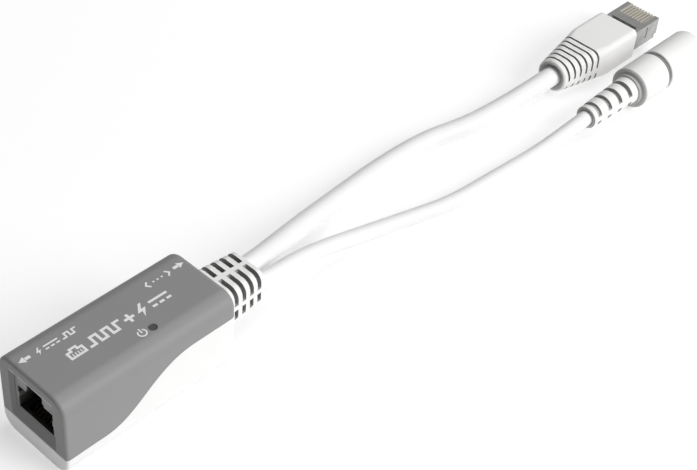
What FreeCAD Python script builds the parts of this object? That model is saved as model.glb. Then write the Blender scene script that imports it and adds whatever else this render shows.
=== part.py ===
"""In-line power-over-Ethernet injector: a two-part casing with an RJ45 jack at its front,
and at its back a moulded boot with two leads, one ending in an RJ45 plug and one in a DC socket.

Millimetres. The origin is under the casing, on the surface that it stands on and midway between its sides.
+X runs from the jack to the leads, +Y is the side of the data lead, +Z is up.
"""
import FreeCAD
import Part
import math
import os

V = FreeCAD.Vector
FORWARD = V(1, 0, 0)

# casing
FRONT, BACK = -24.25, 24.75
CASE_L, CASE_W, CASE_H = BACK - FRONT, 22.3, 22.8
WALL = 1.8
CORNER_R, FRONT_ROUND, BACK_ROUND = 4.2, 0.8, 1.5
SPLIT_LOW, SPLIT_HIGH = 5.7, 16.5        # height of the parting line at the front and at the back
SPLIT_START, SPLIT_END = -13.7, 12.3     # where the parting line starts and stops climbing
SPLIT_GAP = 0.12
MOUTH_DEPTH = 0.9
MOUTH_OUT = (7.65, 5.95, 20.3)           # half width, bottom and top of the mouth at the front face
MOUTH_IN = (6.8, 8.5, 18.4)              # the same at the jack's face
INSIDE = CASE_W / 2 - WALL
SNAPS = [(-12.0, 4.2, 8.6), (16.0, 14.0, 18.2)]    # x, lowest and highest point of each pair of tongues
SNAP_HALF_W = 2.0

# circuit board and what is on it
BOARD_BOTTOM, BOARD_T, BOARD_HALF_W = 3.4, 1.6, 7.6
BOARD_TOP = BOARD_BOTTOM + BOARD_T
BOARD_X = (FRONT + MOUTH_DEPTH + 0.4, 20.0)
TRANSFORMER_X, TRANSFORMER_Y = (1.2, 13.9), (-2.6, 6.0)
TRANSFORMER_PINS, TRANSFORMER_PITCH = 12, 1.0
CAPACITORS = [(0.6, -6.2), (0.6, -4.6), (8.4, -6.6), (8.4, -4.9), (17.2, 7.0)]
RESISTORS = [(2.4, -6.9), (15.0, -6.9), (15.0, -5.6), (19.0, 6.6)]
DIODE_AT = (12.0, -5.9)
PAD_ROWS = (17.4, 15.6)
CONDUCTOR_R, POWER_CONDUCTOR_R = 0.42, 0.6

# jack: its front face, and all its inner parts are placed from there
JACK_FRONT, JACK_L = FRONT + MOUTH_DEPTH + 0.05, 21.3
JACK_BACK = JACK_FRONT + JACK_L
JACK_HALF_W, JACK_BOTTOM, JACK_TOP = 8.0, BOARD_TOP + 0.1, 18.7
SHEET = 0.25
PORT_HALF_W, PORT_BOTTOM, PORT_TOP, PORT_L = 5.9, 8.9, 15.6, 13.6
KEY_HALF_W, KEY_TOP = 3.05, 16.4         # the step beside the latch's wide root
LATCH_HALF_W, LATCH_TOP, LATCH_L = 2.6, 18.2, 9.7
WAYS, PITCH = 8, 1.02
SPRING_PIVOT = (JACK_FRONT + 2.4, 8.2)
SPRING_L, SPRING_ANGLE, SPRING_T = 10.0, 23.0, 0.3
LEAD_X = (JACK_FRONT + 1.9, JACK_FRONT + 16.5)

# light pipe
PIPE_X, PIPE_Y, PIPE_R = 4.55, -5.95, 1.0

# boot on the casing
BOOT_END, BOOT_Z = 38.9, 11.6
BOOT_BASE, BOOT_TIP = (13.6, 11.75, 2.8), (11.6, 10.7, 2.6)      # width, height and corner radius at each end
BOOT_SLOT_W, BOOT_SLOT_DEPTH, BOOT_SLOT_PITCH, BOOT_SLOTS, BOOT_SLOT_FIRST = 1.15, 1.3, 2.6, 5, 26.6
BOOT_SPINE = 0.75                        # half width of the unslotted strip along the top
BOOT_NECK_W, BOOT_NECK_R = 10.2, 2.9
INNER_FLANGE_X, INNER_FLANGE_W, INNER_FLANGE_H = 20.8, 13.4, 13.0

# leads: where they lie, one point for each change of direction; each end is held a little way inside its boot
DATA_D, POWER_D = 5.7, 4.3
HELD = 0.6
GRIP_BACK, GRIP_RECESS, DC_TAIL = 164.9, 1.0, 155.8
DATA_EXIT, POWER_EXIT = (BOOT_END - HELD, 2.4, BOOT_Z), (BOOT_END - HELD, -3.3, BOOT_Z)
DATA_ROUTE = [
    DATA_EXIT, (47.0, 3.2, 11.1), (62.0, 7.4, 7.4), (80.0, 11.1, 4.0), (100.0, 13.2, 2.9),
    (118.0, 12.7, 2.9), (131.0, 9.3, 2.9), (146.0, 8.2, 2.95), (156.5, 7.1, 4.3),
    (GRIP_BACK + GRIP_RECESS + HELD, 6.55, 5.15),
]
POWER_ROUTE = [
    POWER_EXIT, (46.0, -2.9, 11.2), (60.0, -1.7, 8.0), (76.0, -2.4, 3.9), (90.0, -4.8, 2.25),
    (104.0, -8.7, 2.2), (120.0, -9.6, 2.2), (136.0, -10.7, 2.2), (147.5, -12.0, 4.5),
    (DC_TAIL + HELD, -12.6, 6.0),
]

# RJ45 plug on the data lead
PLUG_Y, PLUG_BOTTOM, PLUG_TOP, PLUG_HALF_W = DATA_ROUTE[-1][1], 1.85, 8.45, 5.84
PLUG_BACK, PLUG_NOSE = 186.5, 209.4
PLUG_GAP = 0.05                          # between the shield and the body
LATCH_PIVOT = (PLUG_NOSE - 2.65, 1.3)
GRIP_SHOULDER, GRIP_FRONT = 183.0, 196.2
GRIP_W, GRIP_H, GRIP_R, GRIP_END_D = 14.1, 10.3, 1.7, 9.8
GRIP_SLOTS, GRIP_SLOT_PITCH, GRIP_SLOT_W, GRIP_SLOT_DEPTH, GRIP_SLOT_FIRST = 6, 2.28, 0.6, 0.7, 177.8

# DC socket on the power lead
DC_Y, DC_Z, DC_R = POWER_ROUTE[-1][1], POWER_ROUTE[-1][2], 6.0
DC_BACK, DC_RING, DC_SLEEVE, DC_FRONT = 175.9, 187.5, 189.1, 205.5
DC_SLEEVE_INNER_R = 4.3
TAIL_SLOT_X, TAIL_SLOT_W, TAIL_SLOT_ANGLE = (157.35, 161.85, 166.4, 170.85), 1.5, 145
TAIL_R, TAIL_CORE_R, COLLAR_R = (3.3, 4.05), 2.7, (4.5, 4.75)
BORE_R, BORE_L, PIN_R, SHANK_R = 2.85, 10.0, 1.0, 1.3


def box(x0, x1, y0, y1, z0, z1):
    return Part.makeBox(x1 - x0, y1 - y0, z1 - z0, V(x0, y0, z0))


def sided(half_w, x0, x1, z0, z1, y=0.0):
    """A box that reaches half_w to each side of the plane at y."""
    return box(x0, x1, y - half_w, y + half_w, z0, z1)


def rounded_wire(x, y, z, width, height, r):
    """A rounded rectangle in the plane at x, centred on y and z, always of eight edges."""
    a, b, k = width / 2, height / 2, r * (1 - math.sqrt(0.5))
    def at(dy, dz):
        return V(x, y + dy, z + dz)

    corners = [(1, 1), (-1, 1), (-1, -1), (1, -1)]
    edges = []
    for i, (sy, sz) in enumerate(corners):
        along_y = at(sy * (a - r), sz * b)
        along_z = at(sy * a, sz * (b - r))
        first, last = (along_z, along_y) if sy == sz else (along_y, along_z)
        edges.append(Part.Arc(first, at(sy * (a - k), sz * (b - k)), last).toShape())
        ny, nz = corners[(i + 1) % 4]
        start = at(ny * (a - r), nz * b) if nz == sz else at(ny * a, nz * (b - r))
        edges.append(Part.LineSegment(last, start).toShape())
    return Part.Wire(edges)


def rounded_prism(x0, x1, y, z, width, height, r):
    wire = rounded_wire(x0, y, z, width, height, r)
    return Part.Face(wire).extrude(V(x1 - x0, 0, 0))


def round_taper(x0, size0, x1, size1, y, z):
    """A straight taper between two rounded rectangles, each given as width, height and radius."""
    wires = [rounded_wire(x, y, z, *size) for x, size in ((x0, size0), (x1, size1))]
    return Part.makeLoft(wires, True, True)


def rod_x(x0, x1, r, y, z):
    return Part.makeCylinder(r, x1 - x0, V(x0, y, z), FORWARD)


def turned(profile, y, z):
    """A solid turned about the line along X through y and z, from points of x and radius."""
    points = [V(x, y, z + r) for x, r in profile]
    face = Part.Face(Part.makePolygon(points + [points[0]]))
    return face.revolve(V(0, y, z), FORWARD, 360)


def side_plate(points, y, half_w):
    """Points of x and z, made a plate that reaches half_w to each side of y."""
    outline = [V(x, y - half_w, z) for x, z in points]
    return Part.Face(Part.makePolygon(outline + [outline[0]])).extrude(V(0, 2 * half_w, 0))


def fused(shapes):
    return shapes[0].multiFuse(shapes[1:]).removeSplitter() if len(shapes) > 1 else shapes[0]


def ways(middle=0.0):
    """The y of each of the eight contacts."""
    return [middle + (i - (WAYS - 1) / 2) * PITCH for i in range(WAYS)]


def route_wire(points, name=None):
    """Straight runs joined by tangent arcs, each as large as its two runs allow."""
    pts = [V(*p) for p in points]
    edges, here, radii = [], pts[0], []
    for before, corner, after in zip(pts, pts[1:], pts[2:]):
        back, ahead = (before - corner), (after - corner)
        half = (math.pi - back.getAngle(ahead)) / 2
        reach = 0.45 * min(back.Length, ahead.Length)
        back.normalize()
        ahead.normalize()
        radius = reach / math.tan(half)
        start, end = corner + back * reach, corner + ahead * reach
        inward = (back + ahead).normalize()
        middle = corner + inward * (radius / math.cos(half) - radius)
        edges.append(Part.LineSegment(here, start).toShape())
        edges.append(Part.Arc(start, middle, end).toShape())
        here = end
        radii.append(round(radius, 1))
    edges.append(Part.LineSegment(here, pts[-1]).toShape())
    if name:
        print(name, "bend radii", radii)
    return Part.Wire(edges)


def tube(points, radius, name=None):
    wire = route_wire(points, name)
    start = V(*points[0])
    section = Part.Wire(Part.makeCircle(radius, start, V(*points[1]) - start))
    solid = wire.makePipeShell([section], True, False)
    if name:
        expected = math.pi * radius ** 2 * wire.Length
        print(name, "length", round(wire.Length, 1), "volume over section x length",
              round(solid.Volume / expected, 4))
    return solid


def save(name, *shapes):
    whole = shapes[0] if len(shapes) == 1 else Part.makeCompound(list(shapes))
    whole.exportStep(f"parts/{name}.step")


# ---------------------------------------------------------------- casing

def case_block():
    block = rounded_prism(FRONT, BACK, 0, CASE_H / 2, CASE_W, CASE_H, CORNER_R)
    front = [e for e in block.Edges if all(abs(v.X - FRONT) < 0.01 for v in e.Vertexes)]
    back = [e for e in block.Edges if all(abs(v.X - BACK) < 0.01 for v in e.Vertexes)]
    return block.makeFillet(FRONT_ROUND, front).makeFillet(BACK_ROUND, back)


def case_cavity():
    inside_r = CORNER_R - WALL
    height = CASE_H - 2 * WALL
    return rounded_prism(FRONT + MOUTH_DEPTH, BACK - WALL, 0, CASE_H / 2, CASE_W - 2 * WALL, height, inside_r)


def below_split(offset):
    """Everything under the parting line, moved up by offset."""
    reach, deep = CASE_L, CASE_H
    low, high = SPLIT_LOW + offset, SPLIT_HIGH + offset
    span = SPLIT_END - SPLIT_START
    side = -CASE_W
    climb = Part.BezierCurve()
    climb.setPoles([V(SPLIT_START, side, low), V(SPLIT_START + 0.385 * span, side, low),
                    V(SPLIT_END - 0.48 * span, side, high), V(SPLIT_END, side, high)])
    corners = [V(SPLIT_END, side, high), V(reach, side, high), V(reach, side, -deep),
               V(-reach, side, -deep), V(-reach, side, low), V(SPLIT_START, side, low)]
    outline = Part.Wire([climb.toShape()] + Part.makePolygon(corners).Edges)
    return Part.Face(outline).extrude(V(0, 2 * CASE_W, 0))


def mouth():
    """The funnel that leads into the jack."""
    def frame(x, half_w, bottom, top):
        height = top - bottom
        return rounded_wire(x, 0, bottom + height / 2, 2 * half_w, height, 0.5)
    slope = 0.01
    return Part.makeLoft([frame(FRONT - slope, *MOUTH_OUT), frame(FRONT + MOUTH_DEPTH + slope, *MOUTH_IN)],
                         True, True)


def boot_neck_hole():
    side = BOOT_NECK_W + 0.2
    return rounded_prism(BACK - 2 * WALL, BACK + WALL, 0, BOOT_Z, side, side, BOOT_NECK_R + 0.1)


def snap_tongues():
    made = []
    for x, low, high in SNAPS:
        split = SPLIT_LOW if x < 0 else SPLIT_HIGH
        for side in (-1, 1):
            def slab(near, far, z0, z1, half=SNAP_HALF_W):
                y0, y1 = sorted((side * near, side * far))
                return box(x - half, x + half, y0, y1, z0, z1)
            made.append(slab(INSIDE - 0.9, INSIDE + 0.3, low, split - SPLIT_GAP))
            made.append(slab(INSIDE - 0.9, INSIDE - 0.12, low, high))
            made.append(slab(INSIDE - 0.3, INSIDE + 0.3, high - 0.9, high, SNAP_HALF_W - 0.4))
    return made


def snap_recesses():
    made = []
    for x, low, high in SNAPS:
        for side in (-1, 1):
            y0, y1 = sorted((side * (INSIDE - 0.1), side * (INSIDE + 0.45)))
            made.append(box(x - SNAP_HALF_W, x + SNAP_HALF_W, y0, y1, high - 1.1, high + 0.2))
    return made


def top_cover(block, cavity):
    shell = block.cut(below_split(0)).cut(cavity)
    light_hole = Part.makeCylinder(PIPE_R + 0.08, 2 * WALL, V(PIPE_X, PIPE_Y, CASE_H - 1.5 * WALL))
    shell = shell.cut(fused([mouth(), boot_neck_hole()])).cut(light_hole)
    return shell.cut(Part.makeCompound(snap_recesses()))


def base_shell(block, cavity):
    shell = block.common(below_split(-SPLIT_GAP)).cut(cavity).cut(boot_neck_hole())
    posts = [box(x, x + 3, y, y + 2, WALL - 0.5, BOARD_BOTTOM)
             for x in (BOARD_X[0] + 0.6, -2.0, BOARD_X[1] - 3.6) for y in (-BOARD_HALF_W, BOARD_HALF_W - 2)]
    return fused([shell] + posts + snap_tongues())


def light_pipe():
    pipe = Part.makeCylinder(PIPE_R, CASE_H - 0.2 - 6.2, V(PIPE_X, PIPE_Y, 6.2))
    flange = Part.makeCylinder(PIPE_R + 0.5, 1.0, V(PIPE_X, PIPE_Y, CASE_H - WALL - 1.1))
    return fused([pipe, flange])


# ---------------------------------------------------------------- jack

def port_space(deep, slack=0.0, latch_deep=None):
    """What the jack leaves free for a plug, from its face to deep, and to latch_deep for the latch."""
    front = JACK_FRONT - 0.1
    latch_deep = latch_deep or deep
    room = sided(PORT_HALF_W - slack, front, deep, PORT_BOTTOM + slack, PORT_TOP - slack)
    key = sided(KEY_HALF_W - slack, front, latch_deep, PORT_TOP - 1, KEY_TOP - slack)
    slot = sided(LATCH_HALF_W - slack, front, latch_deep, PORT_TOP - 1, LATCH_TOP - slack)
    return fused([room, key, slot])


def on_both_sides(x0, x1, y0, y1, z0, z1):
    """A box and its mirror image on the other side."""
    return [box(x0, x1, y0, y1, z0, z1), box(x0, x1, -y1, -y0, z0, z1)]


def jack_shield():
    """Folded sheet: a can open below, with grounding fingers in its side windows and inside the port."""
    j, outer, inner = JACK_FRONT, JACK_HALF_W, JACK_HALF_W - SHEET
    can = sided(outer, j, JACK_BACK, JACK_BOTTOM, JACK_TOP)
    inside = sided(inner, j + SHEET, JACK_BACK - SHEET, JACK_BOTTOM - 1, JACK_TOP - SHEET)
    windows = on_both_sides(j + 5.2, j + 11.2, outer - 1, outer + 1, 10.0, 14.5)
    shell = can.cut(inside).cut(port_space(j + 1)).cut(Part.makeCompound(windows))
    fingers = on_both_sides(j + 5.4, j + 11.3, inner, outer, 10.8, 13.7)
    port_fingers = on_both_sides(j, j + 5.0, PORT_HALF_W - 0.25, PORT_HALF_W, 12.0, 13.5)
    roots = on_both_sides(j, j + SHEET, PORT_HALF_W - 0.25, PORT_HALF_W + 0.5, 12.0, 13.6)
    tabs = [tab for x in (j + 6.7, j + 16.7)
            for tab in on_both_sides(x, x + 1.4, inner, outer, 2.5, JACK_BOTTOM + 0.5)]
    return fused([shell] + fingers + port_fingers + roots + tabs)


def jack_housing():
    j, half_w, gap = JACK_FRONT, JACK_HALF_W - SHEET - 0.05, SHEET + 0.05
    block = sided(half_w, j + gap, JACK_BACK - gap, JACK_BOTTOM, JACK_TOP - gap)
    port = port_space(j + PORT_L, slack=0.05, latch_deep=j + LATCH_L)
    reliefs = on_both_sides(j, j + 5.2, PORT_HALF_W - 0.4, PORT_HALF_W + 0.1, 11.9, 13.7)
    trough = sided(4.5, j + 1.0, j + 17.2, JACK_BOTTOM - 1, PORT_BOTTOM + 0.5)
    comb = sided(4.5, j + 12.6, j + 14.2, PORT_BOTTOM, 13.4)
    return block.cut(fused([port, trough, comb])).cut(Part.makeCompound(reliefs))


def jack_contact_carrier():
    return sided(4.3, JACK_FRONT + 2.8, JACK_FRONT + 15.8, JACK_BOTTOM + 0.1, JACK_BOTTOM + 1.1)


def jack_contact_leads():
    """Each lead rises behind the front lip, runs back over the carrier and drops through the board."""
    x0, x1 = LEAD_X
    top, half_w = JACK_BOTTOM + 1.45, 0.17
    return [fused([
        box(x0, x0 + SPRING_T, y - half_w, y + half_w, top - SPRING_T, 7.7),
        box(x0, x1, y - half_w, y + half_w, top - SPRING_T, top),
        box(x1 - SPRING_T, x1, y - half_w, y + half_w, BOARD_BOTTOM - 0.9, top),
    ]) for y in ways()]


def jack_contact_springs():
    """Eight sloping wires that the plug's contacts push down, each with a turned-over tip."""
    x, z = SPRING_PIVOT
    lean = math.radians(SPRING_ANGLE)
    tip_x, tip_z = x + SPRING_L * math.cos(lean), z + SPRING_L * math.sin(lean)
    half = SPRING_T / 2
    outline = [(x - 0.3, z - 0.1), (x, z - half), (tip_x, tip_z - half), (tip_x + 0.5, tip_z - 0.55),
               (tip_x + 0.8, tip_z - 0.4), (tip_x + 0.15, tip_z + 0.25), (x - 0.2, z + 0.3)]
    return [side_plate(outline, y, 0.17) for y in ways()]


# ---------------------------------------------------------------- circuit board and what is on it

def circuit_board():
    board = sided(BOARD_HALF_W, *BOARD_X, BOARD_BOTTOM, BOARD_TOP)
    x = LEAD_X[1] - SPRING_T / 2
    holes = [box(x - 0.3, x + 0.3, y - 0.3, y + 0.3, BOARD_BOTTOM - 1, BOARD_TOP + 1) for y in ways()]
    return board.cut(Part.makeCompound(holes))


def pulse_transformer():
    x0, x1 = TRANSFORMER_X
    y0, y1 = TRANSFORMER_Y
    return box(x0, x1, y0, y1, BOARD_TOP + 0.15, BOARD_TOP + 5.6)


def transformer_pins():
    """Gull-wing pins on both long sides."""
    made = []
    for i in range(TRANSFORMER_PINS):
        x = TRANSFORMER_X[0] + 0.85 + i * TRANSFORMER_PITCH
        for edge, out in ((TRANSFORMER_Y[0], -1), (TRANSFORMER_Y[1], 1)):
            def leg(near, far, z0, z1):
                y0, y1 = sorted((edge + out * near, edge + out * far))
                return box(x - 0.2, x + 0.2, y0, y1, BOARD_TOP + z0, BOARD_TOP + z1)
            made.append(fused([leg(0, 0.5, 1.2, 1.4), leg(0.3, 0.5, 0, 1.4), leg(0.3, 1.2, 0, 0.2)]))
    return made


def chip(x, y, length, width, height):
    return box(x - length / 2, x + length / 2, y - width / 2, y + width / 2, BOARD_TOP, BOARD_TOP + height)


def chip_capacitors():
    return [chip(x, y, 1.6, 0.8, 0.8) for x, y in CAPACITORS]


def chip_resistors():
    return [chip(x, y, 1.6, 0.8, 0.5) for x, y in RESISTORS]


def surge_diode():
    return chip(*DIODE_AT, 4.3, 2.6, 2.2)


def indicator_led():
    return chip(PIPE_X, PIPE_Y, 1.6, 0.8, 0.8)


def data_conductors():
    """Eight wires in two layers, which leave the jacket and turn down to the board."""
    made = []
    for layer, pad_x in enumerate(PAD_ROWS):
        z = DATA_EXIT[2] - 0.55 + 1.1 * layer
        for i in range(4):
            y0 = DATA_EXIT[1] + (i - 1.5) * 0.95
            y1 = 2.4 + (i - 1.5) * 2.2 + 1.0 * layer
            route = [(INNER_FLANGE_X, y0, z), (INNER_FLANGE_X - 1.2, y0 + 0.01, z), (pad_x, y1, z - 0.6),
                     (pad_x - 0.01, y1, BOARD_TOP)]
            made.append(tube(route, CONDUCTOR_R))
    return made


def power_conductor(y0, y1, pad_x):
    z = POWER_EXIT[2]
    route = [(INNER_FLANGE_X, y0, z), (INNER_FLANGE_X - 1.2, y0 + 0.01, z), (pad_x, y1, z - 0.6),
             (pad_x - 0.01, y1, BOARD_TOP)]
    return tube(route, POWER_CONDUCTOR_R)


# ---------------------------------------------------------------- boot on the casing

def boot_slots():
    """The flexing slots: on each side one round the top corner, a short one, one round the lower corner."""
    made = []
    half, top = BOOT_BASE[0] / 2 + 1, BOOT_Z + BOOT_BASE[1] / 2 + 1
    for i in range(BOOT_SLOTS):
        middle = BOOT_SLOT_FIRST + BOOT_SLOT_PITCH * i
        x0, x1 = middle - BOOT_SLOT_W / 2, middle + BOOT_SLOT_W / 2
        for z0, z1 in ((BOOT_Z + 1.4, top), (BOOT_Z - 2.5, BOOT_Z - 0.2), (BOOT_Z - half, BOOT_Z - 4.2)):
            made += on_both_sides(x0, x1, BOOT_SPINE, half, z0, z1)
    return Part.makeCompound(made)


def cable_boot():
    outer = round_taper(BACK + 0.05, BOOT_BASE, BOOT_END, BOOT_TIP, 0, BOOT_Z)
    rim = [e for e in outer.Edges if all(abs(v.X - BOOT_END) < 0.01 for v in e.Vertexes)]
    outer = outer.makeFillet(0.5, rim)
    base, tip = ((w - 2 * BOOT_SLOT_DEPTH, h - 2 * BOOT_SLOT_DEPTH, r - BOOT_SLOT_DEPTH)
                 for w, h, r in (BOOT_BASE, BOOT_TIP))
    core = round_taper(BACK, base, BOOT_END + 1, tip, 0, BOOT_Z)
    neck = rounded_prism(INNER_FLANGE_X + 1, BACK + 1, 0, BOOT_Z, BOOT_NECK_W, BOOT_NECK_W, BOOT_NECK_R)
    flange = rounded_prism(INNER_FLANGE_X, BACK - WALL - 0.1, 0, BOOT_Z, INNER_FLANGE_W, INNER_FLANGE_H, 3.0)
    return fused([outer.cut(boot_slots().cut(core)), neck, flange])


# ---------------------------------------------------------------- RJ45 plug

def plug_shield():
    outer = sided(PLUG_HALF_W, PLUG_BACK, PLUG_NOSE - 0.4, PLUG_BOTTOM, PLUG_TOP, PLUG_Y)
    inner = sided(PLUG_HALF_W - SHEET, PLUG_BACK - 1, PLUG_NOSE + 1, PLUG_BOTTOM + SHEET, PLUG_TOP - SHEET,
                  PLUG_Y)
    contact_window = sided(4.55, PLUG_NOSE - 6.6, PLUG_NOSE + 1, PLUG_TOP - 1, PLUG_TOP + 1, PLUG_Y)
    latch_window = sided(3.6, GRIP_FRONT - 0.5, PLUG_NOSE + 1, PLUG_BOTTOM - 1, PLUG_BOTTOM + 1, PLUG_Y)
    crimp = sided(4.55, PLUG_NOSE - 11.6, PLUG_NOSE - 9.9, PLUG_TOP - 1, PLUG_TOP + 1, PLUG_Y)
    wide = PLUG_HALF_W + 1
    nose_step = sided(wide, PLUG_NOSE - 1.3, PLUG_NOSE + 1, PLUG_BOTTOM - 1, PLUG_BOTTOM + 1.3, PLUG_Y)
    windows = fused([inner, contact_window, latch_window, crimp])
    return outer.cut(windows).cut(fused([nose_step, plug_side_slots()]))


def plug_side_slots():
    """The J-shaped slot that frees a grounding spring in each side of the shield."""
    x = PLUG_NOSE - 6.3
    wide = PLUG_HALF_W + 1
    upright = sided(wide, x, x + 0.5, PLUG_BOTTOM + 2.3, PLUG_TOP - 0.9, PLUG_Y)
    foot = sided(wide, x - 0.8, x + 0.5, PLUG_BOTTOM + 2.3, PLUG_BOTTOM + 2.8, PLUG_Y)
    return fused([upright, foot])


def plug_body():
    half_w = PLUG_HALF_W - SHEET - PLUG_GAP
    low, high = PLUG_BOTTOM + SHEET + PLUG_GAP, PLUG_TOP - SHEET - PLUG_GAP
    block = sided(half_w, PLUG_BACK + 0.1, PLUG_NOSE, low, high, PLUG_Y)
    cuts = [box(PLUG_NOSE - 6.2, PLUG_NOSE + 1, y - 0.21, y + 0.21, high - 1.9, high + 1)
            for y in ways(PLUG_Y)]
    cuts.append(sided(4.3, PLUG_BACK - 1, PLUG_NOSE - 2.2, low + 2.6, high - 1.9, PLUG_Y))
    cuts.append(sided(half_w + 1, PLUG_NOSE - 1.3, PLUG_NOSE + 1, low - 1, PLUG_BOTTOM + 2.4, PLUG_Y))
    cuts.append(sided(4.5, PLUG_NOSE - 11.5, PLUG_NOSE - 10.0, high - 0.9, high + 1, PLUG_Y))
    lip = sided(3.0, PLUG_NOSE - 2.2, PLUG_NOSE - 1.35, LATCH_PIVOT[1] - 0.4, low + 0.5, PLUG_Y)
    return fused([block.cut(Part.makeCompound(cuts)), lip])


def plug_contacts():
    high = PLUG_TOP - SHEET - PLUG_GAP
    return [box(PLUG_NOSE - 6.0, PLUG_NOSE - 0.5, y - 0.17, y + 0.17, high - 1.75, high - 0.25)
            for y in ways(PLUG_Y)]


def plug_load_bar():
    """The bar pressed into the slot across the body, over the wires."""
    high = PLUG_TOP - SHEET - PLUG_GAP
    return sided(4.5, PLUG_NOSE - 11.5, PLUG_NOSE - 10.0, high - 0.9, high - 0.5, PLUG_Y)


def plug_conductors():
    z = PLUG_TOP - SHEET - PLUG_GAP - 1.9 - 0.5
    return [rod_x(PLUG_BACK + 0.4, PLUG_NOSE - 2.4, 0.4, y, z) for y in ways(PLUG_Y)]


def plug_latch():
    """The lever under the plug: wide with two catches near its root, narrow where a thumb presses it."""
    x, z = LATCH_PIVOT
    end_x, drop, t = GRIP_FRONT + 0.35, 0.9, 0.65
    def slice_of(start, stop, half_w):
        def level(at):
            return z + 0.35 - drop * (x - at) / (x - end_x)
        return side_plate([(start, level(start)), (stop, level(stop)), (stop, level(stop) - t),
                           (start, level(start) - t)], PLUG_Y, half_w)
    return fused([slice_of(x + 0.15, x - 3.4, 3.0), slice_of(x - 3.2, end_x, 1.65)])


def plug_boot():
    """The moulded grip: a box round the plug, and behind it a slotted taper down to the round end."""
    z = GRIP_H / 2

    def taper(shrink, reach):
        end = GRIP_END_D - 2 * shrink
        return round_taper(GRIP_BACK - reach, (end, end, end / 2 - 0.05), GRIP_SHOULDER,
                           (GRIP_W - 2 * shrink, GRIP_H - 2 * shrink, GRIP_R), PLUG_Y, z)

    grip = rounded_prism(GRIP_SHOULDER, GRIP_FRONT, PLUG_Y, z, GRIP_W, GRIP_H, GRIP_R)
    rim = [e for e in grip.Edges if all(abs(v.X - GRIP_FRONT) < 0.01 for v in e.Vertexes)]
    whole = fused([grip.makeFillet(0.6, rim), taper(0, 0)])
    slots = []
    for i in range(GRIP_SLOTS):
        x0 = GRIP_SLOT_FIRST - i * GRIP_SLOT_PITCH
        slots.append(sided(GRIP_W, x0, x0 + GRIP_SLOT_W, z, GRIP_H + 1, PLUG_Y))
        for side in (-1, 1):
            y0, y1 = sorted((PLUG_Y + side * 2.0, PLUG_Y + side * GRIP_W))
            slots.append(box(x0, x0 + GRIP_SLOT_W, y0, y1, 1.2, z - 1.9))
    slots = Part.makeCompound(slots).cut(taper(GRIP_SLOT_DEPTH, 0.5))
    mouth_r, hole_r, around = GRIP_END_D / 2 - 0.9, DATA_D / 2 + 0.15, 0.08
    recess = Part.makeCone(mouth_r, hole_r, GRIP_RECESS, V(GRIP_BACK, PLUG_Y, z), FORWARD)
    pocket = sided(PLUG_HALF_W + around, PLUG_BACK - 0.1, GRIP_FRONT + 1, PLUG_BOTTOM - around,
                   PLUG_TOP + around, PLUG_Y)
    return whole.cut(slots).cut(recess).cut(pocket)


# ---------------------------------------------------------------- DC socket

def dc_overmould():
    """The rear half of the socket and the tapered, slotted strain relief that grows out of it."""
    collar = DC_BACK - 0.9
    body = turned([(DC_TAIL, 0), (DC_TAIL, TAIL_R[0] - 0.3), (DC_TAIL + 0.4, TAIL_R[0]), (collar, TAIL_R[1]),
                   (collar, COLLAR_R[0]), (DC_BACK, COLLAR_R[1]), (DC_BACK, DC_R - 0.5),
                   (DC_BACK + 0.6, DC_R), (DC_RING, DC_R), (DC_RING, 0)], DC_Y, DC_Z)
    slots = []
    for x in TAIL_SLOT_X:
        for first in (25, 205):
            wedge = Part.makeCylinder(6, TAIL_SLOT_W, V(x, 0, 0), FORWARD, TAIL_SLOT_ANGLE)
            wedge = wedge.cut(rod_x(x - 1, x + TAIL_SLOT_W + 1, TAIL_CORE_R, 0, 0))
            wedge.rotate(V(0, 0, 0), FORWARD, first)
            wedge.translate(V(0, DC_Y, DC_Z))
            slots.append(wedge)
    return body.cut(Part.makeCompound(slots))


def dc_spacer_ring():
    ring = rod_x(DC_RING, DC_SLEEVE, DC_R - 0.6, DC_Y, DC_Z)
    return ring.cut(rod_x(DC_RING - 1, DC_SLEEVE + 1, 2.2, DC_Y, DC_Z))


def dc_front_sleeve():
    inner = DC_SLEEVE_INNER_R
    return turned([(DC_SLEEVE, inner), (DC_SLEEVE, DC_R), (DC_FRONT - 0.9, DC_R), (DC_FRONT - 0.25, DC_R - 0.3),
                   (DC_FRONT, DC_R - 0.9), (DC_FRONT, inner)], DC_Y, DC_Z)


def dc_insulator():
    block = rod_x(DC_SLEEVE, DC_FRONT - 0.4, DC_SLEEVE_INNER_R - 0.05, DC_Y, DC_Z)
    bore = rod_x(DC_FRONT - BORE_L, DC_FRONT + 1, BORE_R, DC_Y, DC_Z)
    pin_hole = rod_x(DC_SLEEVE - 1, DC_FRONT, SHANK_R + 0.02, DC_Y, DC_Z)
    slot = sided(1.3, DC_SLEEVE - 1, DC_FRONT - 2.2, DC_Z - 3.4, DC_Z, DC_Y)
    return block.cut(fused([bore, slot])).cut(pin_hole)


def dc_spring_contact():
    """A leaf in a slot under the bore, whose middle rises a little into it."""
    z = DC_Z - 3.3
    leaf = [(DC_SLEEVE + 0.3, z), (DC_FRONT - 6.5, z), (DC_FRONT - 5.0, z + 0.75), (DC_FRONT - 3.6, z + 0.1),
            (DC_FRONT - 2.5, z + 0.1), (DC_FRONT - 2.5, z + 0.35), (DC_FRONT - 3.5, z + 0.35),
            (DC_FRONT - 5.0, z + 1.0), (DC_FRONT - 6.6, z + 0.25), (DC_SLEEVE + 0.3, z + 0.25)]
    return side_plate(leaf, DC_Y, 1.1)


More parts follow.
